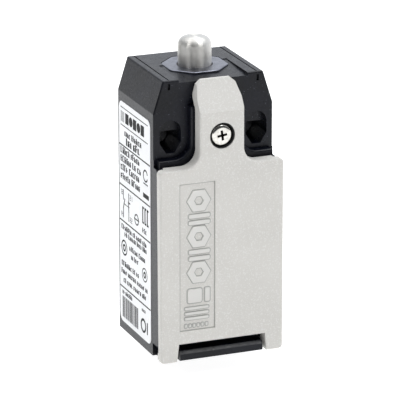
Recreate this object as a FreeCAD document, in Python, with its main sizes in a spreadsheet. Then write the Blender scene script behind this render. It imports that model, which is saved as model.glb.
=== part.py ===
import FreeCAD, Part
import math
import os
import Sketcher

# Compact plunger limit switch in the 30 mm wide EN 50047 size: a black die-cast housing, a hinged
# grey front cover held by one screw, a domed steel plunger in a guide bush, and a two-pole contact
# block (one opening, one closing contact) with four screw terminals.
#
# Millimetres. X is the width, -Y the front, +Y the mounting face at the back, +Z up. The origin is
# on the standing plane, under the middle of the width and of the depth.

# Driving sizes: alias, value.
SIZES = [
    # housing
    ("half_width", 15.0), ("back_y", 14.7), ("face_y", -8.97), ("rim_y", -10.9),
    ("top_z", 67.5), ("chamfer_z", 59.7), ("top_half", 12.54), ("edge_round", 0.4),
    ("shoulder_z", 48.8), ("tower_half", 6.4), ("tower_top_z", 61.2), ("shoulder_round", 4.0),
    ("cavity_half", 12.9), ("cavity_bottom_z", 10.0), ("cavity_top_z", 46.4), ("cavity_y", 12.5),
    ("entry_radius", 9.25), ("entry_y", 1.9), ("entry_lead", 0.7),
    ("slot_x", 10.8), ("slot_z", 54.0), ("slot_half", 2.65), ("slot_rise", 4.0), ("slot_corner", 1.6),
    ("slot_corner_z", 2.5),
    ("slot_depth", 2.0), ("slot_deep", 8.0), ("slot_ledge_z", 54.95), ("fixing_radius", 2.2), ("fixing_z", 52.6),
    ("foot_x", 11.0), ("foot_y", -7.9), ("foot_z", 3.2),
    ("lip_half", 10.5), ("lip_front_y", -14.35), ("lip_low_z", 0.15), ("lip_high_z", 2.5),
    ("band_inner", 13.7), ("band_high_y", -11.3), ("band_low_y", -12.1), ("band_low_z", 3.3), ("band_high_z", 46.9),
    ("ledge_half", 14.2), ("boss_inner", 13.35), ("boss_outer", 14.1), ("boss_radius", 1.5),
    ("nib_x", 8.8), ("nib_half", 0.7), ("groove_x", 11.0), ("groove_half", 0.16), ("sunk_half", 8.6),
    ("slit_x", 11.12), ("slit_low_z", 65.3), ("slit_high_z", 66.8),
    # hinge
    ("hinge_y", -9.7), ("hinge_z", 1.5), ("pin_radius", 0.7), ("pin_half", 13.8),
    ("ear_inner", 11.7), ("ear_outer", 13.2), ("ear_radius", 1.3),
    # front cover
    ("cover_half", 15.55), ("cover_front_y", -14.7), ("cover_back_y", -11.4), ("cap_back_y", -9.2),
    ("cover_shoulder_z", 47.4), ("tongue_half", 5.54), ("contour_round", 3.9), ("crease_z", 60.4),
    ("tongue_bend_z", 63.3), ("tongue_cut_z", 66.3), ("tongue_cut_half", 4.75),
    ("tongue_top_z", 67.3), ("tongue_top_half", 3.6), ("tongue_top_y", -10.0), ("cover_corner", 1.0),
    ("notch_top_half", 10.95), ("notch_low_half", 11.45), ("notch_z", 4.5), ("shell_wall", 1.8),
    ("shell_half", 12.9), ("shell_low_z", 7.6), ("shell_high_z", 45.4), ("sill_z", 6.15),
    ("panel_left", -10.75), ("panel_right", -1.8), ("panel_low_z", 7.6), ("panel_high_z", 43.9),
    ("panel_depth", 0.25),
    ("skirt_inner", 13.65), ("skirt_high_y", -12.45), ("skirt_low_y", -13.1),
    # cover screw
    ("screw_z", 54.65), ("screw_seat_y", -12.9), ("screw_head_radius", 2.75), ("screw_head_top_y", -14.5),
    ("screw_recess_radius", 3.15), ("screw_radius", 1.7), ("screw_tip_y", -7.5), ("seal_groove", 2.7),
    ("seal_groove_y", -12.2), ("insert_radius", 2.6), ("insert_bore", 1.76), ("insert_end_y", -6.0),
    # plunger, head and its spring
    ("axis_y", 2.87), ("plunger_radius", 4.0), ("plunger_top_z", 74.2), ("plunger_flat", 1.9),
    ("collar_radius", 5.6), ("collar_low_z", 56.0), ("collar_high_z", 57.75), ("stem_radius", 2.4),
    ("stem_end_z", 46.05), ("plate_radius", 8.0), ("plate_low_z", 66.6), ("head_bore", 6.45),
    ("bush_radius", 6.4), ("bush_bore", 4.05), ("bush_low_z", 57.8), ("seat_z", 47.4), ("seat_hole", 3.3),
    ("wiper_low_z", 62.4), ("wiper_high_z", 64.2), ("wiper_radius", 5.2),
    ("return_radius", 4.3), ("return_wire", 0.4), ("return_turns", 4.0),
    # contact block
    ("block_half", 12.3), ("block_front_y", -4.6), ("block_back_y", 12.2), ("block_low_z", 22.5),
    ("block_high_z", 45.6), ("chamber_half", 6.6), ("chamber_y", 7.4), ("chamber_low_z", 24.0),
    ("chamber_high_z", 44.2), ("lid_back_y", -1.4), ("foot_half", 4.0), ("foot_low_z", 15.8),
    ("tab_y", 6.8), ("tab_back_y", 9.4), ("block_screw_z", 18.8),
    ("cell_inner", 7.4), ("cell_rise", 3.2), ("cell_y", 0.4), ("terminal_x", 9.85),
    ("upper_z", 41.0), ("lower_z", 28.5), ("plate_rise", 2.9), ("plate_thick", 1.2),
    ("upper_tab_z", 38.0), ("lower_tab_z", 25.5), ("tab_thick", 1.0), ("tab_inner", 4.0), ("tab_end_y", 4.6),
    ("tip_x", 4.9), ("tip_radius", 0.85), ("tip_high", 0.8),
    ("clamp_half", 2.7), ("clamp_front_y", -2.35), ("clamp_thick", 1.0),
    # moving contacts
    ("cup_radius", 3.2), ("cup_bore", 2.6), ("cup_low_z", 40.7), ("cup_high_z", 46.0),
    ("flange_radius", 3.7), ("flange_low_z", 42.9), ("flange_high_z", 44.15), ("cup_roof_z", 44.9),
    ("carriage_half", 1.6), ("carriage_low_z", 27.0), ("carriage_high_z", 37.4), ("cap_radius", 2.4),
    ("bar_half", 5.9), ("bar_deep", 1.7), ("bar_thick", 0.6), ("opening_bar_z", 35.8), ("closing_bar_z", 29.7),
    ("over_radius", 1.9), ("over_wire", 0.25), ("lift_radius", 0.95), ("lift_wire", 0.175),
    # earth terminal
    ("earth_x", -9.3), ("earth_z", 15.0),
]

doc = FreeCAD.newDocument("LimitSwitch")
sheet = doc.addObject("Spreadsheet::Sheet", "Dims")
for row, (alias, value) in enumerate(SIZES, 1):
    sheet.set("A%d" % row, alias)
    sheet.set("B%d" % row, str(value))
    sheet.setAlias("B%d" % row, alias)
doc.recompute()
ALIASES = sorted((alias for alias, _ in SIZES), key=len, reverse=True)


def bind(text):
    """An expression with each size name written as its cell of the sheet."""
    words, word = [], ""
    for letter in str(text) + " ":
        if letter.isalnum() or letter == "_":
            word += letter
            continue
        words.append("Dims." + word if word in ALIASES else word)
        words.append(letter)
        word = ""
    return "".join(words).strip()


def number(text):
    """The present value of an expression."""
    found = sheet.evalExpression(bind(text))
    return float(getattr(found, "Value", found))


def rect(x0, y0, x1, y1):
    """A rectangle's four corners."""
    return [(x0, y0), (x1, y0), (x1, y1), (x0, y1)]


def circle(x, y, radius):
    """A circle for a sketch."""
    return ("circle", x, y, radius)


def mirrored(points):
    """The right half of an outline, from the bottom up, closed by its mirror image."""
    left = [("-(%s)" % x, y) for x, y in reversed(points)]
    return list(points) + left


def octagon(x, y, radius):
    """A regular octagon with flats facing both sketch axes."""
    corners = []
    for step in range(8):
        turn = math.radians(22.5 + 45 * step)
        corners.append(("%s + %.9f*(%s)" % (x, math.cos(turn), radius),
                        "%s + %.9f*(%s)" % (y, math.sin(turn), radius)))
    return corners


class Solid:
    """One PartDesign body, built up feature by feature from bound sketches."""

    def __init__(self, label):
        self.body = doc.addObject("PartDesign::Body", label)
        self.body.Label = label
        self.count = 0

    def plane(self, role):
        return [item for item in self.body.Origin.OriginFeatures if item.Role == role][0]

    def name(self, kind):
        self.count += 1
        return "%s_%s_%d" % (self.body.Label, kind, self.count)

    def sketch(self, role, offset, loops):
        """A sketch on an origin plane, moved by offset = (along x, along y, along the normal)."""
        sketch = self.body.newObject("Sketcher::SketchObject", self.name("sketch"))
        sketch.AttachmentSupport = (self.plane(role), [""])
        sketch.MapMode = "FlatFace"
        for axis, value in zip("xyz", offset):
            if value != "0":
                sketch.setExpression("AttachmentOffset.Base." + axis, bind(value))
        for loop in loops:
            if loop[0] == "circle":
                self.add_circle(sketch, *loop[1:])
            else:
                self.add_polygon(sketch, loop)
        doc.recompute()
        return sketch

    def pin(self, sketch, kind, element, point, text):
        index = sketch.addConstraint(Sketcher.Constraint(kind, -1, 1, element, point, number(text)))
        sketch.setExpression("Constraints[%d]" % index, bind(text))

    def add_circle(self, sketch, x, y, radius):
        centre = FreeCAD.Vector(number(x), number(y), 0)
        up = FreeCAD.Vector(0, 0, 1)
        ring = sketch.addGeometry(Part.Circle(centre, up, number(radius)))
        self.pin(sketch, "DistanceX", ring, 3, x)
        self.pin(sketch, "DistanceY", ring, 3, y)
        index = sketch.addConstraint(Sketcher.Constraint("Radius", ring, number(radius)))
        sketch.setExpression("Constraints[%d]" % index, bind(radius))

    def add_polygon(self, sketch, points):
        spots = [FreeCAD.Vector(number(x), number(y), 0) for x, y in points]
        size = len(points)
        lines = [sketch.addGeometry(Part.LineSegment(spots[i], spots[(i + 1) % size])) for i in range(size)]
        for i in range(size):
            sketch.addConstraint(Sketcher.Constraint("Coincident", lines[i], 2, lines[(i + 1) % size], 1))
        for line, (x, y) in zip(lines, points):
            self.pin(sketch, "DistanceX", line, 1, x)
            self.pin(sketch, "DistanceY", line, 1, y)

    def feature(self, kind, sketch, length):
        """A Pad (along the sketch's normal) or a Pocket (against it)."""
        before = self.body.Shape.Volume if self.body.Tip else 0.0
        item = self.body.newObject("PartDesign::" + kind, self.name(kind.lower()))
        item.Profile = sketch
        item.setExpression("Length", bind(length))
        doc.recompute()
        change = self.body.Shape.Volume - before
        if (change > -1e-6) if kind == "Pocket" else (change < 1e-6):
            raise RuntimeError("%s changed nothing in %s" % (item.Name, self.body.Label))
        return self

    def pad_y(self, back, front, *loops):
        """Material between two Y planes; loops are (x, z)."""
        sketch = self.sketch("XZ_Plane", ("0", "0", "-(%s)" % back), loops)
        return self.feature("Pad", sketch, "(%s) - (%s)" % (back, front))

    def cut_y(self, front, back, *loops):
        """Removes what lies between two Y planes; loops are (x, z)."""
        sketch = self.sketch("XZ_Plane", ("0", "0", "-(%s)" % front), loops)
        return self.feature("Pocket", sketch, "(%s) - (%s)" % (back, front))

    def pad_z(self, low, high, *loops):
        """Material between two Z planes; loops are (x, y)."""
        sketch = self.sketch("XY_Plane", ("0", "0", low), loops)
        return self.feature("Pad", sketch, "(%s) - (%s)" % (high, low))

    def cut_z(self, high, low, *loops):
        """Removes what lies between two Z planes; loops are (x, y)."""
        sketch = self.sketch("XY_Plane", ("0", "0", high), loops)
        return self.feature("Pocket", sketch, "(%s) - (%s)" % (high, low))

    def pad_x(self, low, high, *loops):
        """Material between two X planes; loops are (y, z)."""
        sketch = self.sketch("YZ_Plane", ("0", "0", low), loops)
        return self.feature("Pad", sketch, "(%s) - (%s)" % (high, low))

    def cut_x(self, high, low, *loops):
        """Removes what lies between two X planes; loops are (y, z)."""
        sketch = self.sketch("YZ_Plane", ("0", "0", high), loops)
        return self.feature("Pocket", sketch, "(%s) - (%s)" % (high, low))

    def turn_z(self, x, y, profile):
        """A turned part about a vertical axis; the profile is (radius, z)."""
        sketch = self.sketch("XZ_Plane", (x, "0", "-(%s)" % y), [profile])
        return self.revolve(sketch, "V_Axis")

    def turn_y(self, x, z, profile):
        """A turned part about an axis along Y; the profile is (y, radius)."""
        sketch = self.sketch("YZ_Plane", ("0", z, x), [profile])
        return self.revolve(sketch, "H_Axis")

    def revolve(self, sketch, axis):
        item = self.body.newObject("PartDesign::Revolution", self.name("turned"))
        item.Profile = sketch
        item.ReferenceAxis = (sketch, [axis])
        item.Angle = 360.0
        doc.recompute()
        return self

    def round(self, radius, wanted, kind="Fillet"):
        """Rounds (or chamfers) the edges whose middle point and direction pass the test."""
        tip = self.body.Tip
        names = []
        for index, edge in enumerate(tip.Shape.Edges, 1):
            first, last = edge.ParameterRange
            middle = edge.valueAt((first + last) / 2)
            if wanted(edge, middle):
                names.append("Edge%d" % index)
        item = self.body.newObject("PartDesign::" + kind, self.name(kind.lower()))
        item.Base = (tip, names)
        item.setExpression("Radius" if kind == "Fillet" else "Size", bind(radius))
        doc.recompute()
        if not names or "Invalid" in item.State or not item.Shape.isValid():
            raise RuntimeError("%s failed on %d edges" % (item.Name, len(names)))
        return self


def near(value, text, within=0.02):
    """True where a measured value is the stated size."""
    return abs(value - number(text)) < within


def along(edge, axis):
    """True for a straight edge along one axis."""
    first, last = edge.Vertexes[0].Point, edge.Vertexes[-1].Point
    spans = [abs(first.x - last.x), abs(first.y - last.y), abs(first.z - last.z)]
    return spans["xyz".index(axis)] > 0.05 and sum(spans) - spans["xyz".index(axis)] < 1e-6


def group(label, members):
    """Equal pieces kept together under one name, each its own solid."""
    item = doc.addObject("Part::Compound", label)
    item.Label = label
    item.Links = [member.body if isinstance(member, Solid) else member for member in members]
    doc.recompute()
    return item


def coil(label, x, y, low, high, radius, wire, turns):
    """A round-wire compression spring standing between two heights."""
    helix = doc.addObject("Part::Helix", label + "_line")
    helix.setExpression("Radius", bind(radius))
    helix.setExpression("Height", bind("(%s) - (%s) - 2*(%s)" % (high, low, wire)))
    helix.setExpression("Pitch", bind("((%s) - (%s) - 2*(%s)) / (%s)" % (high, low, wire, turns)))
    section = doc.addObject("Part::Circle", label + "_section")
    section.setExpression("Radius", bind(wire))
    for item, start in ((helix, "0"), (section, radius)):
        item.setExpression("Placement.Base.x", bind("(%s) + (%s)" % (x, start)))
        item.setExpression("Placement.Base.y", bind(y))
        item.setExpression("Placement.Base.z", bind("(%s) + (%s)" % (low, wire)))
    section.Placement.Rotation = FreeCAD.Rotation(FreeCAD.Vector(1, 0, 0), 90)
    doc.recompute()
    sweep = doc.addObject("Part::Sweep", label)
    sweep.Label = label
    sweep.Sections = [section]
    sweep.Spine = (helix, ["Edge%d" % (i + 1) for i in range(len(helix.Shape.Edges))])
    sweep.Solid = True
    sweep.Frenet = True
    doc.recompute()
    return sweep


nodes = []


def keep(item):
    """Records a finished sub-part; its label names its file."""
    nodes.append(item.body if isinstance(item, Solid) else item)
    return item


def cross(solid, front, depth, x, z, arm, half):
    """The cross recess of a screw head that faces the front."""
    across = rect("(%s) - %s" % (x, arm), "(%s) - %s" % (z, half), "(%s) + %s" % (x, arm), "(%s) + %s" % (z, half))
    upright = rect("(%s) - %s" % (x, half), "(%s) - %s" % (z, arm), "(%s) + %s" % (x, half), "(%s) + %s" % (z, arm))
    solid.cut_y(front, "(%s) + %s" % (front, depth), across)
    solid.cut_y(front, "(%s) + %s" % (front, depth), upright)
    return solid


# ---- housing: a deep box with a stepped front, side chamfers at the top and a threaded entry
def make_housing():
    outline = mirrored([("half_width", "0"), ("half_width", "chamfer_z"), ("top_half", "top_z")])
    front = mirrored([
        ("half_width", "0"), ("half_width", "shoulder_z"),
        ("tower_half", "shoulder_z"), ("tower_half", "tower_top_z"),
    ])
    case = Solid("housing")
    case.pad_y("back_y", "face_y", outline)
    case.round("edge_round", lambda e, p: along(e, "y") and p.z > number("chamfer_z") - 1)
    case.round("edge_round", lambda e, p: near(p.y, "back_y") or (near(p.y, "face_y") and p.z > 50))
    case.pad_y("face_y + 1", "rim_y", front)
    case.round("shoulder_round", lambda e, p: along(e, "y") and near(abs(p.x), "tower_half")
               and near(p.z, "shoulder_z"))
    case.round("0.5", lambda e, p: near(p.y, "rim_y") and p.z > 0.5)
    # the space for the contact block and the wiring, open to the front
    case.cut_y("rim_y", "cavity_y", rect("-cavity_half", "cavity_bottom_z", "cavity_half", "cavity_top_z"))
    case.round("1.5", lambda e, p: along(e, "y") and near(abs(p.x), "cavity_half"))
    # cable entry, with a lead-in for the gland's thread
    case.cut_z("cavity_bottom_z + 1", "-1", circle("0", "entry_y", "entry_radius"))
    case.round("entry_lead", lambda e, p: near(p.z, "0") and near(math.hypot(p.x, p.y - number("entry_y")),
               "entry_radius"), kind="Chamfer")
    # head: plate seat, bush bore and the spring's seat
    case.cut_z("top_z + 1", "plate_low_z", octagon("0", "axis_y", "plate_radius + 0.06"))
    case.round("1.4", lambda e, p: along(e, "z") and near(math.hypot(p.x, p.y - number("axis_y")),
               "plate_radius + 0.06"))
    case.cut_z("plate_low_z + 1", "seat_z", circle("0", "axis_y", "head_bore"))
    case.cut_z("seat_z + 1", "cavity_top_z - 1", circle("0", "axis_y", "seat_hole"))
    # fixing holes at the bottom of tall mouths with a round head and a corner-cut foot
    for side in ("-1", "1"):
        x = "%s*slot_x" % side
        mouth = []
        for step in range(7):
            turn = math.radians(30.0 * step)
            mouth.append(("%s + slot_half*%.6f" % (x, math.cos(turn)),
                          "slot_z + slot_rise - slot_half*%.6f" % (1 - math.sin(turn))))
        mouth += [(x + " - slot_half", "slot_z - slot_rise + slot_corner_z"),
                  (x + " - slot_half + slot_corner", "slot_z - slot_rise"),
                  (x + " + slot_half - slot_corner", "slot_z - slot_rise"),
                  (x + " + slot_half", "slot_z - slot_rise + slot_corner_z")]
        case.cut_y("face_y - 1", "face_y + slot_depth", mouth)
        case.cut_y("face_y + slot_depth - 1", "face_y + slot_deep", [
            (x + " - slot_half + slot_corner", "slot_z - slot_rise"),
            (x + " + slot_half - slot_corner", "slot_z - slot_rise"),
            (x + " + slot_half", "slot_z - slot_rise + slot_corner_z"), (x + " + slot_half", "slot_ledge_z"),
            (x + " - slot_half", "slot_ledge_z"), (x + " - slot_half", "slot_z - slot_rise + slot_corner_z"),
        ])
        case.cut_y("face_y - 1", "back_y + 1", circle(x, "fixing_z", "fixing_radius"))
        # hinge corners, cut back so that the cover's ears can turn
        foot = rect("%s*foot_x" % side, "-1", "%s*(half_width + 1)" % side, "foot_z")
        case.cut_y("rim_y - 1", "foot_y", foot)
        for inner, outer, loop in (
                ("boss_inner", "boss_outer", circle("hinge_y", "hinge_z", "boss_radius")),
                ("boss_inner", "boss_outer", rect("hinge_y", "0.1", "foot_y + 0.2", "foot_z - 0.2")),
                ("band_inner", "half_width", [
                    ("rim_y + 0.6", "band_low_z"), ("band_low_y", "band_low_z"), ("band_high_y", "band_high_z - 1.2"),
                    ("band_high_y + 0.35", "band_high_z - 0.3"), ("rim_y + 0.6", "band_high_z")])):
            ends = ["%s*%s" % (side, inner), "%s*%s" % (side, outer)]
            case.pad_x(*(ends if side == "1" else ends[::-1]), loop)
        ledge = ["%s*ledge_half" % side, "%s*(half_width + 1)" % side]
        case.cut_y("rim_y - 1", "face_y", rect(*([ledge[0], "band_high_z", ledge[1], "shoulder_z + 1"] if side == "1"
                                                 else [ledge[1], "band_high_z", ledge[0], "shoulder_z + 1"])))
    # the lip that lies in the cover's notch, standing on two small feet
    case.pad_y("rim_y + 1", "lip_front_y", rect("-lip_half", "lip_low_z", "lip_half", "lip_high_z"))
    case.round("0.7", lambda e, p: along(e, "x") and near(p.y, "lip_front_y") and near(p.z, "lip_high_z"), kind="Chamfer")
    case.round("0.3", lambda e, p: along(e, "x") and near(p.y, "lip_front_y") and near(p.z, "lip_low_z"))
    for side in ("-1", "1"):
        nib = rect("%s*nib_x - nib_half" % side, "0", "%s*nib_x + nib_half" % side, "lip_low_z + 0.3")
        case.pad_y("rim_y + 1", "lip_front_y + 0.8", nib)
    case.cut_x("pin_half + 0.05", "-pin_half - 0.05", circle("hinge_y", "hinge_z", "pin_radius + 0.02"))
    # insert seat in front, bosses on the back wall
    case.cut_y("rim_y - 1", "insert_end_y", circle("0", "screw_z", "insert_radius"))
    case.pad_y("cavity_y + 0.5", "tab_back_y + 0.1", circle("0", "block_screw_z", "3.2"))
    case.cut_y("tab_back_y - 1", "cavity_y + 0.9", circle("0", "block_screw_z", "1.5"))
    case.pad_y("cavity_y + 0.5", "8.0", circle("earth_x", "earth_z", "3.0"))
    case.cut_y("7.0", "cavity_y + 0.9", circle("earth_x", "earth_z", "1.75"))
    # top: two long fine grooves, a sunk area before the plate, and two slits under the front edge
    for side in ("-1", "1"):
        x = "%s*groove_x" % side
        case.cut_z("top_z + 1", "top_z - 0.3", rect(x + " - groove_half", "face_y + 0.5", x + " + groove_half", "back_y - 0.7"))
        x = "%s*slit_x" % side
        case.cut_y("face_y - 1", "face_y + 0.6", rect(x + " - 0.3", "slit_low_z", x + " + 0.3", "slit_high_z"))
    case.cut_x("sunk_half", "-sunk_half", [
        ("axis_y + 1.2", "top_z - 0.15"), ("face_y - 1", "top_z - 0.75"), ("face_y - 1", "top_z + 1"),
        ("axis_y + 1.2", "top_z + 1"),
    ])
    return case


# ---- front cover: a shallow shell with a tongue, a notch for the lip and two hinge ears
def make_cover():
    outline = mirrored([
        ("cover_half", "0"), ("cover_half", "cover_shoulder_z"), ("tongue_half", "cover_shoulder_z"),
        ("tongue_half", "tongue_bend_z"), ("tongue_cut_half", "tongue_cut_z"), ("tongue_top_half", "tongue_top_z"),
    ])
    cover = Solid("front_cover")
    cover.pad_y("cap_back_y", "cover_front_y", outline)
    cover.round("contour_round", lambda e, p: along(e, "y") and near(abs(p.x), "tongue_half")
                and near(p.z, "cover_shoulder_z"))
    cover.round("cover_corner", lambda e, p: along(e, "y") and near(abs(p.x), "cover_half"))
    cover.round("2.0", lambda e, p: along(e, "y") and near(p.z, "tongue_bend_z"))
    cover.cut_x("20", "-20", [
        ("cover_front_y", "crease_z"), ("tongue_top_y", "tongue_top_z"), ("tongue_top_y", "tongue_top_z + 2"),
        ("cover_front_y - 2", "tongue_top_z + 2"), ("cover_front_y - 2", "crease_z"),
    ])
    cover.round("0.5", lambda e, p: near(p.y, "cover_front_y") and p.z < number("crease_z") - 0.05)
    cover.cut_x("20", "-20", [
        ("cover_back_y", "-1"), ("cap_back_y + 1", "-1"), ("cap_back_y + 1", "tower_top_z + 2.7"),
        ("cap_back_y", "tower_top_z + 2.7"), ("cover_back_y", "tower_top_z - 0.5"),
    ])
    cover.cut_y("cover_front_y + shell_wall", "cover_back_y + 0.5",
                rect("-shell_half", "shell_low_z", "shell_half", "shell_high_z"))
    # notch, with a thin sill above it that clears the lip as the cover opens
    cover.cut_y("cover_front_y - 1", "cap_back_y", [
        ("-notch_low_half", "-0.01"), ("notch_low_half", "-0.01"), ("notch_top_half", "notch_z"),
        ("-notch_top_half", "notch_z"),
    ])
    cover.cut_y("cover_front_y + shell_wall", "cover_back_y + 0.5", rect("-11.2", "notch_z - 1", "11.2", "sill_z"))
    cover.cut_x("11.2", "-11.2", [
        ("cover_front_y + 1.05", "notch_z - 0.05"), ("cover_front_y + shell_wall + 0.05", "notch_z - 0.05"),
        ("cover_front_y + shell_wall + 0.05", "notch_z + 0.8"),
    ])
    for side in ("-1", "1"):
        # the skirt's outer band lies in front of the case's side wall, with a round heel at the hinge
        ends = ["%s*skirt_inner" % side, "%s*20" % side]
        cover.cut_x(*(ends[::-1] if side == "1" else ends), [
            ("cap_back_y + 1", "-1"), ("-14.0", "-1"), ("-14.0", "0.02"), ("-13.3", "0.3"), ("-12.75", "0.8"),
            ("-12.5", "1.4"), ("-12.6", "2.05"), ("skirt_low_y", "2.7"), ("skirt_high_y", "cover_shoulder_z + 1"),
            ("cap_back_y + 1", "cover_shoulder_z + 1"),
        ])
        inner, outer = "%s*ear_inner" % side, "%s*ear_outer" % side
        low, high = (inner, outer) if side == "1" else (outer, inner)
        cover.pad_x(low, high, rect("cover_back_y - 0.2", "hinge_z - ear_radius", "hinge_y", "hinge_z + ear_radius"))
        cover.pad_x(low, high, circle("hinge_y", "hinge_z", "ear_radius"))
    cover.cut_x("20", "-20", circle("hinge_y", "hinge_z", "pin_radius + 0.05"))
    # screw hole, its recess in front and the seal's groove behind
    cover.cut_y("cover_front_y - 1", "screw_seat_y", circle("0", "screw_z", "screw_recess_radius"))
    cover.cut_y("cover_front_y - 1", "cover_back_y + 1", circle("0", "screw_z", "screw_radius + 0.15"))
    cover.cut_y("seal_groove_y", "cover_back_y + 1", circle("0", "screw_z", "seal_groove"))
    # the sunk floor of the moulded panel
    cover.cut_y("cover_front_y - 1", "cover_front_y + panel_depth",
                rect("panel_left", "panel_low_z", "panel_right", "panel_high_z"))
    return cover


keep(make_housing())
keep(make_cover())

gasket = keep(Solid("cover_gasket"))
gasket.pad_y("rim_y", "cover_back_y", rect("-13.6", "6.3", "13.6", "47.0"), rect("-12.95", "7.4", "12.95", "46.0"))

label = keep(Solid("rating_label"))
label.pad_x("-half_width - 0.1", "-half_width", rect("-7.0", "2.2", "13.5", "57.5"))
label.round("1.8", lambda e, p: along(e, "x"))

hinge_pin = keep(Solid("hinge_pin"))
hinge_pin.pad_x("-pin_half", "pin_half", circle("hinge_y", "hinge_z", "pin_radius"))

insert = keep(Solid("cover_screw_insert"))
insert.pad_y("insert_end_y", "rim_y", circle("0", "screw_z", "insert_radius"), circle("0", "screw_z", "insert_bore"))

screw = keep(Solid("cover_screw"))
screw.turn_y("0", "screw_z", [
    ("screw_seat_y", "0"), ("screw_seat_y", "screw_head_radius"), ("screw_head_top_y + 0.7", "screw_head_radius"),
    ("screw_head_top_y + 0.25", "screw_head_radius - 0.35"), ("screw_head_top_y", "screw_head_radius - 1.1"),
    ("screw_head_top_y", "0"),
])
screw.turn_y("0", "screw_z", [
    ("screw_seat_y - 0.2", "0"), ("screw_seat_y - 0.2", "screw_radius"), ("screw_tip_y - 0.4", "screw_radius"),
    ("screw_tip_y", "screw_radius - 0.4"), ("screw_tip_y", "0"),
])
cross(screw, "screw_head_top_y", "1.1", "0", "screw_z", "1.55", "0.42")

seal = keep(Solid("cover_screw_seal"))
seal.turn_y("0", "screw_z", [
    ("cover_back_y - 0.03", "screw_radius + 0.3"), ("cover_back_y - 0.03", "seal_groove - 0.2"),
    ("cover_back_y - 0.25", "seal_groove - 0.03"), ("seal_groove_y + 0.25", "seal_groove - 0.03"),
    ("seal_groove_y + 0.03", "seal_groove - 0.2"), ("seal_groove_y + 0.03", "screw_radius + 0.3"),
    ("seal_groove_y + 0.25", "screw_radius + 0.06"), ("cover_back_y - 0.25", "screw_radius + 0.06"),
])

# ---- head: octagonal plate, guide bush, wiper seal, plunger and its return spring
head_plate = keep(Solid("head_plate"))
head_plate.pad_z("plate_low_z", "top_z", octagon("0", "axis_y", "plate_radius"), circle("0", "axis_y", "bush_bore + 0.15"))
head_plate.round("1.4", lambda e, p: along(e, "z") and near(math.hypot(p.x, p.y - number("axis_y")), "plate_radius"))
head_plate.round("0.25", lambda e, p: near(p.z, "top_z"))

bush = keep(Solid("plunger_guide_bush"))
bush.turn_z("0", "axis_y", [
    ("bush_bore", "bush_low_z"), ("bush_radius - 0.4", "bush_low_z"), ("bush_radius", "bush_low_z + 0.4"),
    ("bush_radius", "plate_low_z - 0.02"), ("bush_bore", "plate_low_z - 0.02"), ("bush_bore", "wiper_high_z"),
    ("wiper_radius", "wiper_high_z"), ("wiper_radius", "wiper_low_z"), ("bush_bore", "wiper_low_z"),
])

wiper = keep(Solid("plunger_seal"))
wiper.turn_z("0", "axis_y", [
    ("wiper_radius - 0.03", "wiper_low_z + 0.03"), ("wiper_radius - 0.03", "wiper_high_z - 0.03"),
    ("bush_bore + 0.4", "wiper_high_z - 0.03"), ("bush_bore - 0.01", "wiper_high_z - 0.5"),
    ("bush_bore - 0.01", "wiper_low_z + 0.5"), ("bush_bore + 0.4", "wiper_low_z + 0.03"),
])

plunger = keep(Solid("plunger"))
dome = []
for step in range(1, 7):
    turn = math.radians(90.0 * step / 7)
    dome.append(("plunger_flat + (plunger_radius - plunger_flat)*%.6f" % math.cos(turn),
                 "plunger_top_z - (plunger_radius - plunger_flat)*%.6f" % (1 - math.sin(turn))))
plunger.turn_z("0", "axis_y", [
    ("0", "stem_end_z"), ("stem_radius - 0.5", "stem_end_z"), ("stem_radius", "stem_end_z + 0.5"),
    ("stem_radius", "collar_low_z"), ("collar_radius", "collar_low_z"), ("collar_radius", "collar_high_z"),
    ("plunger_radius", "collar_high_z"), ("plunger_radius", "plunger_top_z - plunger_radius + plunger_flat"),
] + dome + [("plunger_flat", "plunger_top_z"), ("0", "plunger_top_z")])

keep(coil("plunger_spring", "0", "axis_y", "seat_z", "collar_low_z", "return_radius", "return_wire", "return_turns"))

# ---- contact block: body with a chamber and four terminal cells, closed by a front lid
base = keep(Solid("contact_block_base"))
base.pad_y("block_back_y", "block_front_y", rect("-block_half", "block_low_z", "block_half", "block_high_z"))
base.round("0.6", lambda e, p: along(e, "y"))
base.pad_y("tab_back_y", "tab_y", rect("-foot_half", "foot_low_z", "foot_half", "block_low_z + 1"))
base.cut_y("block_front_y", "chamber_y", rect("-chamber_half", "chamber_low_z", "chamber_half", "chamber_high_z"))
base.cut_z("block_high_z", "chamber_high_z - 0.5", circle("0", "axis_y", "cup_radius + 0.05"))
base.cut_y("tab_y - 1", "tab_back_y + 1", circle("0", "block_screw_z", "1.6"))
for side in ("-1", "1"):
    for level, tab in (("upper_z", "upper_tab_z"), ("lower_z", "lower_tab_z")):
        cell = rect("%s*cell_inner" % side, level + " - cell_rise", "%s*(block_half + 1)" % side, level + " + cell_rise")
        base.cut_y("block_front_y - 1", "cell_y", cell)
        base.cut_y("cell_y - 1", "cell_y + 5.6", circle("%s*terminal_x" % side, level, "2.0"))
        slot = rect("%s*(chamber_half - 0.5)" % side, tab + " - 0.03", "%s*10.53" % side, tab + " + tab_thick + 0.03")
        base.cut_y("cell_y - 2.5", "tab_end_y + 0.03", slot)

lid = keep(Solid("contact_block_lid"))
lid.pad_y("lid_back_y", "block_front_y", rect("-chamber_half + 0.03", "chamber_low_z + 0.03",
                                              "chamber_half - 0.03", "chamber_high_z - 0.03"))
lid.round("0.4", lambda e, p: near(p.y, "block_front_y"))

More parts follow.
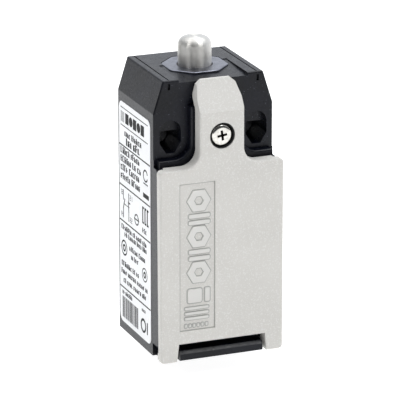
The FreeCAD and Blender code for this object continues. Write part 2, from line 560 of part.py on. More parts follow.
for name, level, tab, reach in (("upper", "upper_z", "upper_tab_z", "-tip_high"),
                                ("lower", "lower_z", "lower_tab_z", "tab_thick")):
    pieces, tips = [], []
    for word, side in (("left", "-1"), ("right", "1")):
        piece = Solid("terminal_%s_%s" % (name, word))
        piece.pad_y("cell_y - 0.02", "cell_y - plate_thick", rect(
            "%s*(cell_inner + 0.2)" % side, level + " - plate_rise", "%s*11.8" % side, level + " + plate_rise"))
        piece.pad_y("tab_end_y", "cell_y - plate_thick + 0.1", rect(
            "%s*tab_inner" % side, tab, "%s*10.5" % side, tab + " + tab_thick"))
        piece.cut_y("cell_y - 3", "cell_y + 1", circle("%s*terminal_x" % side, level, "1.75"))
        pieces.append(piece)
        tip = Solid("fixed_tip_%s_%s" % (name, word))
        tip.pad_z("%s + %s" % (tab, reach), "%s + %s + tip_high" % (tab, reach),
                  circle("%s*tip_x" % side, "axis_y", "tip_radius"))
        tips.append(tip)
    keep(group("fixed_contacts_" + name, pieces))
    keep(group("fixed_contact_tips_" + name, tips))

heads, clamps = [], []
for side in ("-1", "1"):
    for level in ("upper_z", "lower_z"):
        x = "%s*terminal_x" % side
        tag = "%s_%s" % ("left" if side == "-1" else "right", level[:5])
        head = Solid("terminal_screw_" + tag)
        head.turn_y(x, level, [
            ("clamp_front_y", "0"), ("clamp_front_y", "2.4"), ("clamp_front_y - 1.3", "2.4"),
            ("clamp_front_y - 1.8", "1.9"), ("clamp_front_y - 1.8", "0"),
        ])
        head.turn_y(x, level, [
            ("clamp_front_y - 0.2", "0"), ("clamp_front_y - 0.2", "1.7"), ("cell_y + 4.6", "1.7"),
            ("cell_y + 5.0", "1.3"), ("cell_y + 5.0", "0"),
        ])
        cross(head, "clamp_front_y - 1.8", "1.1", x, level, "1.5", "0.42")
        heads.append(head)
        clamp = Solid("terminal_clamp_" + tag)
        clamp.pad_y("clamp_front_y + clamp_thick", "clamp_front_y + 0.02",
                    rect(x + " - clamp_half + 0.55", level + " - clamp_half", x + " + clamp_half - 0.55", level + " + clamp_half"),
                    circle(x, level, "1.8"))
        clamps.append(clamp)
keep(group("terminal_screws", heads))
keep(group("terminal_clamps", clamps))

# ---- moving contacts: actuator cup, carriage, two bridges with silver tips, and their springs
cup = keep(Solid("block_actuator"))
cup.turn_z("0", "axis_y", [
    ("0", "cup_roof_z"), ("cup_bore", "cup_roof_z"), ("cup_bore", "cup_low_z"), ("cup_radius", "cup_low_z"),
    ("cup_radius", "flange_low_z"), ("flange_radius", "flange_low_z"), ("flange_radius", "flange_high_z"),
    ("cup_radius", "flange_high_z"), ("cup_radius", "cup_high_z - 0.4"), ("cup_radius - 0.4", "cup_high_z"),
    ("0", "cup_high_z"),
])

carriage = keep(Solid("contact_carriage"))
carriage.pad_z("carriage_low_z", "carriage_high_z - 0.3", rect(
    "-carriage_half", "axis_y - carriage_half", "carriage_half", "axis_y + carriage_half"))
carriage.pad_z("carriage_high_z - 0.5", "carriage_high_z", circle("0", "axis_y", "cap_radius"))
for low, high in (("opening_bar_z - 1.9", "opening_bar_z + bar_thick + 0.02"),
                  ("closing_bar_z - 0.02", "closing_bar_z + bar_thick + 1.9")):
    carriage.cut_x("5", "-5", rect("axis_y - 1.25", low, "axis_y + 1.25", high))
carriage.cut_z("carriage_low_z + 1.8", "carriage_low_z - 1", circle("0", "axis_y", "1.3"))

for name, level, toward in (("opening", "opening_bar_z", "bar_thick"), ("closing", "closing_bar_z", "-0.75")):
    bar = keep(Solid("%s_contact_bridge" % name))
    bar.pad_z(level, level + " + bar_thick", [
        ("-bar_half", "axis_y - bar_deep"), ("-2.2", "axis_y - bar_deep"), ("-1.9", "axis_y - 1.2"),
        ("1.9", "axis_y - 1.2"), ("2.2", "axis_y - bar_deep"), ("bar_half", "axis_y - bar_deep"),
        ("bar_half", "axis_y + bar_deep"), ("2.2", "axis_y + bar_deep"), ("1.9", "axis_y + 1.2"),
        ("-1.9", "axis_y + 1.2"), ("-2.2", "axis_y + bar_deep"), ("-bar_half", "axis_y + bar_deep"),
    ])
    tips = []
    for word, side in (("left", "-1"), ("right", "1")):
        tip = Solid("%s_tip_%s" % (name, word))
        tip.pad_z("%s + %s" % (level, toward), "%s + %s + 0.75" % (level, toward),
                  circle("%s*tip_x" % side, "axis_y", "tip_radius"))
        tips.append(tip)
    keep(group("%s_contact_tips" % name, tips))

keep(group("bridge_springs", [
    coil("bridge_spring_a", "0", "axis_y", "opening_bar_z - 1.88", "opening_bar_z - 0.02", "0.85", "0.15", "3"),
    coil("bridge_spring_b", "0", "axis_y", "closing_bar_z + bar_thick + 0.02", "closing_bar_z + bar_thick + 1.88",
         "0.85", "0.15", "3"),
]))
keep(coil("overtravel_spring", "0", "axis_y", "carriage_high_z + 0.01", "cup_roof_z - 0.01", "over_radius", "over_wire", "6"))
keep(coil("carriage_spring", "0", "axis_y", "chamber_low_z + 0.01", "carriage_low_z + 1.79", "lift_radius", "lift_wire", "6"))

# ---- fixings inside: the block's screw, the earth screw and its clamp
block_screw = keep(Solid("block_fixing_screw"))
block_screw.turn_y("0", "block_screw_z", [
    ("tab_y - 0.02", "0"), ("tab_y - 0.02", "2.75"), ("tab_y - 1.3", "2.75"), ("tab_y - 1.8", "2.0"), ("tab_y - 1.8", "0"),
])
block_screw.turn_y("0", "block_screw_z", [
    ("tab_y - 0.2", "0"), ("tab_y - 0.2", "1.45"), ("cavity_y + 0.4", "1.45"), ("cavity_y + 0.7", "1.15"), ("cavity_y + 0.7", "0"),
])
cross(block_screw, "tab_y - 1.8", "1.1", "0", "block_screw_z", "1.7", "0.45")

earth_clamp = keep(Solid("earth_clamp"))
earth_clamp.pad_y("7.98", "7.0", rect("earth_x - 3", "earth_z - 3", "earth_x + 3", "earth_z + 3"),
                  circle("earth_x", "earth_z", "1.8"))

earth_screw = keep(Solid("earth_screw"))
earth_screw.turn_y("earth_x", "earth_z", [
    ("6.98", "0"), ("6.98", "2.7"), ("5.7", "2.7"), ("5.2", "2.1"), ("5.2", "0"),
])
earth_screw.turn_y("earth_x", "earth_z", [
    ("6.8", "0"), ("6.8", "1.7"), ("12.8", "1.7"), ("13.2", "1.3"), ("13.2", "0"),
])
cross(earth_screw, "5.2", "1.1", "earth_x", "earth_z", "1.7", "0.45")

# ---- check every object, then write one file per sub-part
doc.recompute()
for item in doc.Objects:
    if "Invalid" in item.State or "Error" in item.State:
        raise RuntimeError("%s is not valid: %s" % (item.Label, item.State))
os.makedirs("parts", exist_ok=True)
for item in nodes:
    shape = item.Shape
    if shape.isNull() or not shape.isValid() or not shape.Solids:
        raise RuntimeError("%s has no valid solid" % item.Label)
    shape.exportStep("parts/%s.step" % item.Label)
    box = shape.BoundBox
    print("%-26s solids %d volume %9.2f x %.2f..%.2f y %.2f..%.2f z %.2f..%.2f" % (
        item.Label, len(shape.Solids), shape.Volume, box.XMin, box.XMax, box.YMin, box.YMax, box.ZMin, box.ZMax))
print("sub-parts written:", len(nodes))
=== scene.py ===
"""Compact plunger limit switch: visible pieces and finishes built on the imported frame."""
import logging
import math
import random
from dataclasses import dataclass, field
from enum import Enum
from typing import Any

import bmesh
import bpy
from mathutils import Matrix, Vector


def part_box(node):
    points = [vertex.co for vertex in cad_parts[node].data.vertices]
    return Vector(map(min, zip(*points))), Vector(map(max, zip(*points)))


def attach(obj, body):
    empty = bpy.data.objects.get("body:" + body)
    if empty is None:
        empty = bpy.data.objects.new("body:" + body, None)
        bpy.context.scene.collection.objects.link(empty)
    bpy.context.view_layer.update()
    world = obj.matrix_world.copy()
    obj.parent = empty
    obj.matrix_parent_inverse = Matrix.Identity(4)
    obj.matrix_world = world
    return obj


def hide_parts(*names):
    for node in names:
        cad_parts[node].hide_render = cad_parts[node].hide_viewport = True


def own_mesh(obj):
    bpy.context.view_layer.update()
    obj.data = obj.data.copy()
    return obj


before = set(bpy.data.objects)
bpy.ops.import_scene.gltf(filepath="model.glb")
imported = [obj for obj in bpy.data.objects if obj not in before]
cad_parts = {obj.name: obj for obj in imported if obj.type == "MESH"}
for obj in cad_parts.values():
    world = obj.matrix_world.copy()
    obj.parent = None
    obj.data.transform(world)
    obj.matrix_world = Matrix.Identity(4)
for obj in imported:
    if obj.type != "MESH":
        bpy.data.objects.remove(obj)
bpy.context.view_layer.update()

MM = 0.001  # one millimetre, in metres
ON_AXIS = 1e-6  # a lathe radius below this is a point on the axis, in millimetres
MERGE = 1e-7  # corners nearer than this are one, in metres
THREAD_STEPS = 48  # divisions of one turn of a thread
WIRE_STEPS = 40  # divisions of one turn of a spring
WIRE_SIDES = 10  # corners of a spring's wire
BEVEL_SEGMENTS = 2
BEVEL_FROM_DEG = 40.0  # edges flatter than this are not rounded
SPECK_EDGE = 0.08  # how quickly a speck fades into its ground
LOG = logging.getLogger("limit_switch")
Pair = tuple[float, float]
Triple = tuple[float, float, float]
Tree = bpy.types.NodeTree
Socket = bpy.types.NodeSocket


def linear(code: str) -> tuple[float, float, float, float]:
    """Turns an sRGB hex colour into linear light.

    Args:
        code: six hex digits, such as "D0D1CC".

    Returns:
        Red, green, blue and an alpha of 1.
    """
    shares = [int(code[i:i + 2], 16) / 255 for i in (0, 2, 4)]
    red, green, blue = [s / 12.92 if s <= 0.04045 else ((s + 0.055) / 1.055) ** 2.4
                        for s in shares]
    return red, green, blue, 1.0


def polar(radius: float, turn: float) -> Pair:
    """The point at a radius and an angle, in radians."""
    return radius * math.cos(turn), radius * math.sin(turn)


def add(tree: Tree, kind: str, settings: dict[str, Any] | None = None,
        links: dict[str | int, Any] | None = None) -> bpy.types.Node:
    """Adds one node with its settings, and gives each input its value or its link.

    Args:
        tree: the node tree it goes into.
        kind: the node's type name, after its "ShaderNode".
        settings: attributes set on the node.
        links: input name or index, to a number, a colour or the output it reads.

    Returns:
        The new node.
    """
    node = tree.nodes.new("ShaderNode" + kind)
    for key, value in (settings or {}).items():
        setattr(node, key, value)
    for key, value in (links or {}).items():
        if isinstance(value, Socket):
            tree.links.new(value, node.inputs[key])
        else:
            node.inputs[key].default_value = value
    return node


class Facing(Enum):
    """Which way a piece's own Z axis points in the frame."""

    UP = Matrix(((1, 0, 0), (0, 1, 0), (0, 0, 1)))
    FRONT = Matrix(((1, 0, 0), (0, 0, -1), (0, 1, 0)))
    LEFT = Matrix(((0, 0, -1), (-1, 0, 0), (0, 1, 0)))

    def at(self, x: float, y: float, z: float) -> Matrix:
        """The placement that turns a piece this way and stands it at a point, in millimetres."""
        return Matrix.Translation(Vector((x, y, z))) @ self.value.to_4x4()


# ---------------------------------------------------------------- finishes

@dataclass(frozen=True)
class Finish:
    """A surface: what it is made of and how it was made.

    Attributes:
        name: the material's name.
        colour: its main colour, as six hex digits.
        second: the colour that the slow clouds drift to.
        roughness: its mean roughness.
        spread: how far the grain moves the roughness either way.
        cloud_mm: size of the clouds.
        grain_mm: size of the grain.
        relief_mm: height of the grain.
        metallic: 1 for a metal.
        ior: index of refraction.
        lit: strength of its own light.
        speck: colour of the specks, if any.
        speck_mm: their size.
        speck_from: nearer 1 makes them rarer.
    """

    name: str
    colour: str
    second: str
    roughness: float
    spread: float
    cloud_mm: float
    grain_mm: float
    relief_mm: float
    metallic: float = 0.0
    ior: float = 1.5
    lit: float = 0.0
    speck: str = ""
    speck_mm: float = 0.45
    speck_from: float = 0.70

    def grain_place(self, tree: Tree, place: Socket) -> Socket:
        """Where the grain reads its pattern: as it stands, for a surface with no direction."""
        return place

    def tint(self, tree: Tree, place: Socket, drift: Socket) -> Socket:
        """Mixes the two colours by the slow drift, then lays the specks on.

        Args:
            tree: the material's nodes.
            place: object coordinates.
            drift: the slow pattern, 0 to 1.

        Returns:
            The colour.
        """
        colour = add(tree, "Mix", {"data_type": "RGBA"},
                     {0: drift, 6: linear(self.colour), 7: linear(self.second)}).outputs[2]
        if not self.speck:
            return colour
        dots = add(tree, "TexNoise", None, {
            "Vector": place, "Scale": 1 / (self.speck_mm * MM), "Detail": 1.0,
        }).outputs["Fac"]
        share = add(tree, "MapRange", None, {
            "Value": dots, "From Min": self.speck_from, "From Max": self.speck_from + SPECK_EDGE,
        }).outputs[0]
        return add(tree, "Mix", {"data_type": "RGBA"},
                   {0: share, 6: colour, 7: linear(self.speck)}).outputs[2]

    def height(self, tree: Tree, place: Socket) -> Socket:
        """The grain's height, 0 to 1."""
        return add(tree, "TexNoise", None, {
            "Vector": self.grain_place(tree, place), "Scale": 1 / (self.grain_mm * MM),
            "Detail": 2.0,
        }).outputs["Fac"]

    def gloss(self, tree: Tree, shader: bpy.types.Node) -> None:
        """Leaves the shader's highlights round, for a surface with no direction."""

    def material(self) -> bpy.types.Material:
        """The finished material, made once and then shared."""
        found = bpy.data.materials.get(self.name)
        if found:
            return found
        material = bpy.data.materials.new(self.name)
        material.use_nodes = True
        tree = material.node_tree
        tree.nodes.clear()
        place = add(tree, "TexCoord").outputs["Object"]
        clouds = add(tree, "TexNoise", None, {
            "Vector": place, "Scale": 1 / (self.cloud_mm * MM), "Detail": 3.0,
        }).outputs["Fac"]
        drift = add(tree, "MapRange", None,
                    {"Value": clouds, "From Min": 0.32, "From Max": 0.68}).outputs[0]
        height = self.height(tree, place)
        rough = add(tree, "MapRange", None, {
            "Value": height, "From Min": 0.3, "From Max": 0.7,
            "To Min": self.roughness - self.spread, "To Max": self.roughness + self.spread,
        }).outputs[0]
        bump = add(tree, "Bump", None, {
            "Height": height, "Distance": self.relief_mm * MM, "Strength": 1.0,
        }).outputs["Normal"]
        shader = add(tree, "BsdfPrincipled", None, {
            "Base Color": self.tint(tree, place, drift), "Roughness": rough, "Normal": bump,
            "Metallic": self.metallic, "IOR": self.ior, "Emission Strength": self.lit,
        })
        self.gloss(tree, shader)
        add(tree, "OutputMaterial", None, {"Surface": shader.outputs[0]})
        return material


@dataclass(frozen=True)
class Turned(Finish):
    """A surface made on a lathe: its grain runs in rings about an upright axis.

    Attributes:
        centre: a point on the axis, in millimetres.
        streak: how far the highlights are drawn out along the axis, 0 to 1.
    """

    centre: Triple = (0.0, 0.0, 0.0)
    streak: float = 0.6

    def gloss(self, tree: Tree, shader: bpy.types.Node) -> None:
        """Draws the highlights out across the turning rings."""
        quarter_turn = 0.25
        shader.inputs["Anisotropic"].default_value = self.streak
        shader.inputs["Anisotropic Rotation"].default_value = quarter_turn
        tangent = add(tree, "Tangent", {"direction_type": "RADIAL", "axis": "Z"})
        tree.links.new(tangent.outputs[0], shader.inputs["Tangent"])

    def grain_place(self, tree: Tree, place: Socket) -> Socket:
        """Distance from the axis and place along it, so the grain makes rings."""
        from_axis = add(tree, "VectorMath", {"operation": "SUBTRACT"},
                        {0: place, 1: [c * MM for c in self.centre]}).outputs[0]
        flat = add(tree, "VectorMath", {"operation": "MULTIPLY"},
                   {0: from_axis, 1: (1, 1, 0)}).outputs[0]
        radius = add(tree, "VectorMath", {"operation": "LENGTH"},
                     {0: flat}).outputs["Value"]
        parts = add(tree, "SeparateXYZ", None, {0: from_axis})
        return add(tree, "CombineXYZ", None, {0: radius, 2: parts.outputs[2]}).outputs[0]


@dataclass(frozen=True)
class Drawn(Finish):
    """A surface rolled or drawn in one direction: its grain is stretched along it.

    Attributes:
        stretch: factors on the object's coordinates; a small one draws the grain out that way.
    """

    stretch: Triple = (0.05, 1.0, 1.0)

    def grain_place(self, tree: Tree, place: Socket) -> Socket:
        """Object coordinates, shortened along the rolling direction."""
        return add(tree, "VectorMath", {"operation": "MULTIPLY"},
                   {0: place, 1: self.stretch}).outputs[0]


# Zinc die casting under black epoxy powder: soft orange peel, and pale dust-like specks in the
# coat. Its matting agent scatters the first reflection, so the index is lower than solid epoxy's.
POWDER_COAT = Finish("black_powder_coat", "04060D", "0A0D18", 0.33, 0.07, 6.0, 0.6, 0.012,
                     ior=1.32, speck="5A5D69", speck_mm=0.42, speck_from=0.72)
# Polyamide moulded in a spark-eroded tool: matt, with a fine even grain that breaks the highlights.
GREY_POLYAMIDE = Finish("light_grey_polyamide", "CFCDC8", "CAC8C3", 0.55, 0.08, 14.0, 0.6, 0.035,
                        speck="D5D4D0", speck_mm=0.4, speck_from=0.56)
# The same moulding where raised faces were polished in the tool: a little brighter and smoother.
GREY_RELIEF = Finish("light_grey_polyamide_relief", "D4D3CF", "CFCECA", 0.46, 0.06, 9.0, 0.8,
                     0.014)
# The foot of each raised mark and the inside of the panel's edges: painted shade, a darker grey
# band that draws an outline where the corners would lie in shade.
GREY_PAINTED_SHADE = Finish("light_grey_polyamide_painted_shade", "A2A3A0", "ABACA8", 0.7, 0.06, 3.0, 0.3, 0.01)
# Nitrile rubber, compression moulded: dull, faintly dusty.
RUBBER = Finish("black_nitrile_rubber", "141415", "1E1E1F", 0.72, 0.08, 2.5, 0.35, 0.01,
                ior=1.52)
# Polyester film with a satin top coat.
FILM = Finish("white_polyester_film", "F1F2F3", "EBECEE", 0.36, 0.05, 12.0, 0.8, 0.003, ior=1.6)
# Carbon ink: black, thin and matt; its loose pigment reflects less than a closed film does.
INK = Finish("black_transfer_ink", "08090B", "101114", 0.6, 0.06, 0.8, 0.3, 0.002, ior=1.3)
# Stainless steel, turned and then barrel polished: fine rings that streak the highlights.
POLISHED_STEEL = Turned("turned_stainless_steel", "DAD9D5", "C8C6C1", 0.40, 0.05, 2.6, 0.3,
                        0.0008, metallic=1.0, centre=(0.0, 2.87, 0.0), streak=0.9)
# Blanked steel strip, bright zinc plated: bluish, with cloudy patches and faint rolling lines.
ZINC_PLATE = Drawn("bright_zinc_plate", "80828C", "6A6C75", 0.34, 0.08, 1.6, 0.18, 0.0025,
                   metallic=1.0)
# Cold-headed steel screw, nickel plated: warm, bright and a little uneven.
NICKEL = Finish("nickel_plated_steel", "D6D4CE", "BDBBB5", 0.16, 0.05, 0.9, 0.3, 0.003,
                metallic=1.0)
# The struck inside of a cross recess: the punch leaves it dull, and its dark brown colour is
# painted shade for the deep recess.
RECESS_SHADE_STEEL = Finish("struck_steel_recess_painted_shade", "5B564D", "3A3731", 0.5, 0.08, 0.4, 0.2, 0.006,
                      metallic=1.0)
# Ground steel rod.
STEEL_PIN = Drawn("ground_steel_rod", "9FA0A2", "88898B", 0.3, 0.06, 2.0, 0.12, 0.002,
                  metallic=1.0)
# Patented spring wire, drawn through a die: grey, finely mottled.
SPRING_WIRE = Finish("drawn_spring_wire", "8C8D90", "707174", 0.32, 0.08, 0.8, 0.15, 0.003,
                     metallic=1.0)
# Half-hard brass strip, stamped: yellow, dulled by a thin tarnish.
BRASS = Drawn("stamped_brass", "C9A256", "A98642", 0.33, 0.08, 1.8, 0.15, 0.003, metallic=1.0,
              stretch=(0.08, 1.0, 1.0))
# Sintered bronze bush: brown, open-pored and oily.
BRONZE = Finish("sintered_bronze", "8E6B3E", "6F5330", 0.48, 0.08, 0.8, 0.2, 0.008,
                metallic=1.0)
# Silver rivet faces.
SILVER = Finish("silver_rivet", "E2E0DB", "C9C5BC", 0.28, 0.06, 0.5, 0.2, 0.002,
                metallic=1.0)
# Glass-filled polyester moulding: near black, with pale fibre flecks at the surface.
BLOCK_PLASTIC = Finish("glass_filled_polyester", "232426", "2C2D2F", 0.55, 0.07, 3.0, 0.35, 0.006,
                       speck="55565A", speck_mm=0.35)
# Ivory polycarbonate moulding: smooth, slightly warm.
LID_PLASTIC = Finish("ivory_polycarbonate", "CFC9B6", "C4BDA8", 0.38, 0.05, 4.0, 0.5, 0.004,
                     ior=1.58)
# Acetal, moulded and self-lubricating: waxy white.
ACETAL = Finish("white_acetal", "E4E3DD", "D9D8D1", 0.42, 0.05, 3.0, 0.4, 0.003, ior=1.48)
# Opal acrylic light table: it shines by itself, so that shadows on it stay faint.
FLOOR = Finish("opal_acrylic_table", "B8B8B8", "B5B5B5", 0.8, 0.02, 90.0, 2.0, 0.01, lit=0.95)


# ---------------------------------------------------------------- mesh making

class Shape:
    """A mesh under construction, in millimetres."""

    def __init__(self) -> None:
        """Starts with nothing."""
        self.points: list[Vector] = []
        self.faces: list[list[int]] = []

    def take(self, points: list[Vector], faces: list[list[int]], place: Matrix) -> "Shape":
        """Adds points and faces, moved to their place."""
        start = len(self.points)
        self.points += [place @ Vector(p) for p in points]
        self.faces += [[start + i for i in face] for face in faces]
        return self

    def lathe(self, profile: list[Pair], place: Matrix, sides: int = 96) -> "Shape":
        """Turns an outline about the local Z axis.

        Args:
            profile: (radius, height) corners. One that starts on the axis ends on it too; any
                other is joined to its start and makes a ring.
            place: where the local axes stand.
            sides: divisions of the circle.

        Returns:
            This shape.
        """
        points, rings = [], []
        for radius, height in profile:
            count = 1 if radius < ON_AXIS else sides
            rings.append([len(points) + i for i in range(count)])
            points += [Vector((*polar(radius, math.tau * i / sides), height))
                       for i in range(count)]
        faces = []
        hollow = profile[0][0] > ON_AXIS
        pairs = list(zip(rings, rings[1:])) + ([(rings[-1], rings[0])] if hollow else [])
        for low, high in pairs:
            for i in range(sides):
                j = (i + 1) % sides
                corners = [low[i % len(low)], low[j % len(low)],
                           high[j % len(high)], high[i % len(high)]]
                faces.append(list(dict.fromkeys(corners)))
        return self.take(points, faces, place)

    def prism(self, outline: list[Pair], low: float, high: float, place: Matrix,
              top_scale: float = 1.0) -> "Shape":
        """Raises a flat outline, drawn anticlockwise, between two heights.

        Args:
            outline: (x, y) corners.
            low: the lower height.
            high: the upper height.
            place: where the local axes stand.
            top_scale: how much smaller the top is, about the outline's middle.

        Returns:
            This shape.
        """
        count = len(outline)
        cx, cy = sum(p[0] for p in outline) / count, sum(p[1] for p in outline) / count
        points = [Vector((x, y, low)) for x, y in outline]
        points += [Vector((cx + (x - cx) * top_scale, cy + (y - cy) * top_scale, high))
                   for x, y in outline]
        faces = [list(range(count - 1, -1, -1)), list(range(count, 2 * count))]
        faces += [[i, (i + 1) % count, count + (i + 1) % count, count + i]
                  for i in range(count)]
        return self.take(points, faces, place)

    def block(self, low: Triple, high: Triple) -> "Shape":
        """A box between two corners of the frame."""
        outline = [(low[0], low[1]), (high[0], low[1]), (high[0], high[1]), (low[0], high[1])]
        return self.prism(outline, low[2], high[2], Matrix.Identity(4))

    def tube(self, path: list[Vector], section: list[Pair], axis: Vector | None = None) -> "Shape":
        """Carries a section along a path about the Z axis.

        Args:
            path: the centre line.
            section: (outwards from the axis, upwards) corners of the section.
            axis: a point on the vertical axis that the section faces away from.

        Returns:
            This shape.
        """
        centre = axis or Vector((0, 0, 0))
        size = len(section)
        points = []
        for spot in path:
            out = Vector((spot.x - centre.x, spot.y - centre.y, 0)).normalized()
            points += [spot + out * a + Vector((0, 0, b)) for a, b in section]
        faces = [[k * size + i, k * size + (i + 1) % size,
                  (k + 1) * size + (i + 1) % size, (k + 1) * size + i]
                 for k in range(len(path) - 1) for i in range(size)]
        faces += [list(range(size - 1, -1, -1)), [len(points) - size + i for i in range(size)]]
        return self.take(points, faces, Matrix.Identity(4))

    def thread(self, root: float, crest: float, low: float, high: float, pitch: float,
               place: Matrix) -> "Shape":
        """A V-shaped ridge winding along the local Z axis.

        Args:
            root: radius at the ridge's foot; above crest for an internal thread.
            crest: radius at the ridge's top.
            low: lowest height.
            high: greatest height.
            pitch: rise for one turn.
            place: where the local axes stand.

        Returns:
            This shape.
        """
        steps = int(THREAD_STEPS * (high - low - pitch) / pitch)
        path = []
        for i in range(steps + 1):
            path.append(Vector((*polar(root, math.tau * i / THREAD_STEPS),
                                low + pitch / 2 + pitch * i / THREAD_STEPS)))
        foot, flat = pitch * 0.46, 0.06  # half widths of the ridge, at its foot and at its crest
        sunk = 0.04 if crest > root else -0.04  # how far the foot goes into the wall
        wound = Shape()
        wound.tube(path, [(-sunk, -foot), (crest - root, -flat), (crest - root, flat),
                          (-sunk, foot)])
        return self.take(wound.points, wound.faces, place)

    def mesh(self, name: str) -> bpy.types.Mesh:
        """The mesh so far, in metres, with its faces turned outwards."""
        made = bpy.data.meshes.new(name)
        made.from_pydata([p * MM for p in self.points], [], self.faces)
        work = bmesh.new()
        work.from_mesh(made)
        bmesh.ops.remove_doubles(work, verts=work.verts, dist=MERGE)
        bmesh.ops.recalc_face_normals(work, faces=work.faces)
        work.to_mesh(made)
        work.free()
        return made

    def build(self, name: str, finish: Finish, body: str, slot: str, bevel_mm: float = 0.0,
              cutter: "Shape | None" = None, stands_for: tuple[str, ...] = (),
              soft_deg: float = 35.0, inside: Finish | None = None) -> bpy.types.Object:
        """Makes the finished piece.

        Args:
            name: the piece's name.
            finish: its surface.
            body: the body it moves with.
            slot: the name of a material slot; not used.
            bevel_mm: rounding of its sharp edges.
            cutter: a shape taken out of it.
            stands_for: CAD nodes that it replaces.
            soft_deg: edges flatter than this are shaded smooth.
            inside: surface of what the cutter leaves.

        Returns:
            The piece.
        """
        piece = stand(name, self.mesh(name))
        helper = None
        if cutter:
            helper = stand(name + "_cutter", cutter.mesh(name + "_cutter"))
            helper.data.materials.append((inside or finish).material())
            piece.data.materials.append(finish.material())
            change = piece.modifiers.new("cut", "BOOLEAN")
            change.object, change.operation, change.solver = helper, "DIFFERENCE", "EXACT"
            change.material_mode, change.use_self = "TRANSFER", True
        if bevel_mm:
            change = piece.modifiers.new("round", "BEVEL")
            change.width, change.segments = bevel_mm * MM, BEVEL_SEGMENTS
            change.limit_method, change.angle_limit = "ANGLE", math.radians(BEVEL_FROM_DEG)
        if cutter or bevel_mm:
            bpy.context.view_layer.update()
            ready = piece.evaluated_get(bpy.context.evaluated_depsgraph_get())
            done = bpy.data.meshes.new_from_object(ready)
            piece.modifiers.clear()
            piece.data = done
        if helper:
            bpy.data.objects.remove(helper)
        piece.data.name = name
        piece.data.shade_smooth()
        piece.data.set_sharp_from_angle(angle=math.radians(soft_deg))
        if not cutter:
            piece.data.materials.append(finish.material())
        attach(piece, body)
        if stands_for:
            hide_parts(*stands_for)
        LOG.info("%s: %d faces, %s", name, len(piece.data.polygons), finish.name)
        return piece


def stand(name: str, data: bpy.types.ID) -> bpy.types.Object:
    """Makes an object of some data and puts it into the scene."""
    made = bpy.data.objects.new(name, data)
    bpy.context.scene.collection.objects.link(made)
    return made


def dress(node: str, finish: Finish) -> None:
    """Gives a CAD node its finish."""
    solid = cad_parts[node]
    for place in solid.material_slots:
        place.material = finish.material()
    LOG.info("%s: %s", node, finish.name)


def rounded(x0: float, y0: float, x1: float, y1: float, radius: float,
            steps: int = 5) -> list[Pair]:
    """A rectangle with rounded corners, anticlockwise."""
    outline = []
    for cx, cy, start in ((x1 - radius, y0 + radius, -90), (x1 - radius, y1 - radius, 0),
                          (x0 + radius, y1 - radius, 90), (x0 + radius, y0 + radius, 180)):
        for i in range(steps + 1):
            across, up = polar(radius, math.radians(start + 90 * i / steps))
            outline.append((cx + across, cy + up))
    return outline


def disc(x: float, y: float, radius: float, sides: int = 40) -> list[Pair]:
    """A circle's corners, anticlockwise."""
    spots = [polar(radius, math.tau * i / sides) for i in range(sides)]
    return [(x + across, y + up) for across, up in spots]


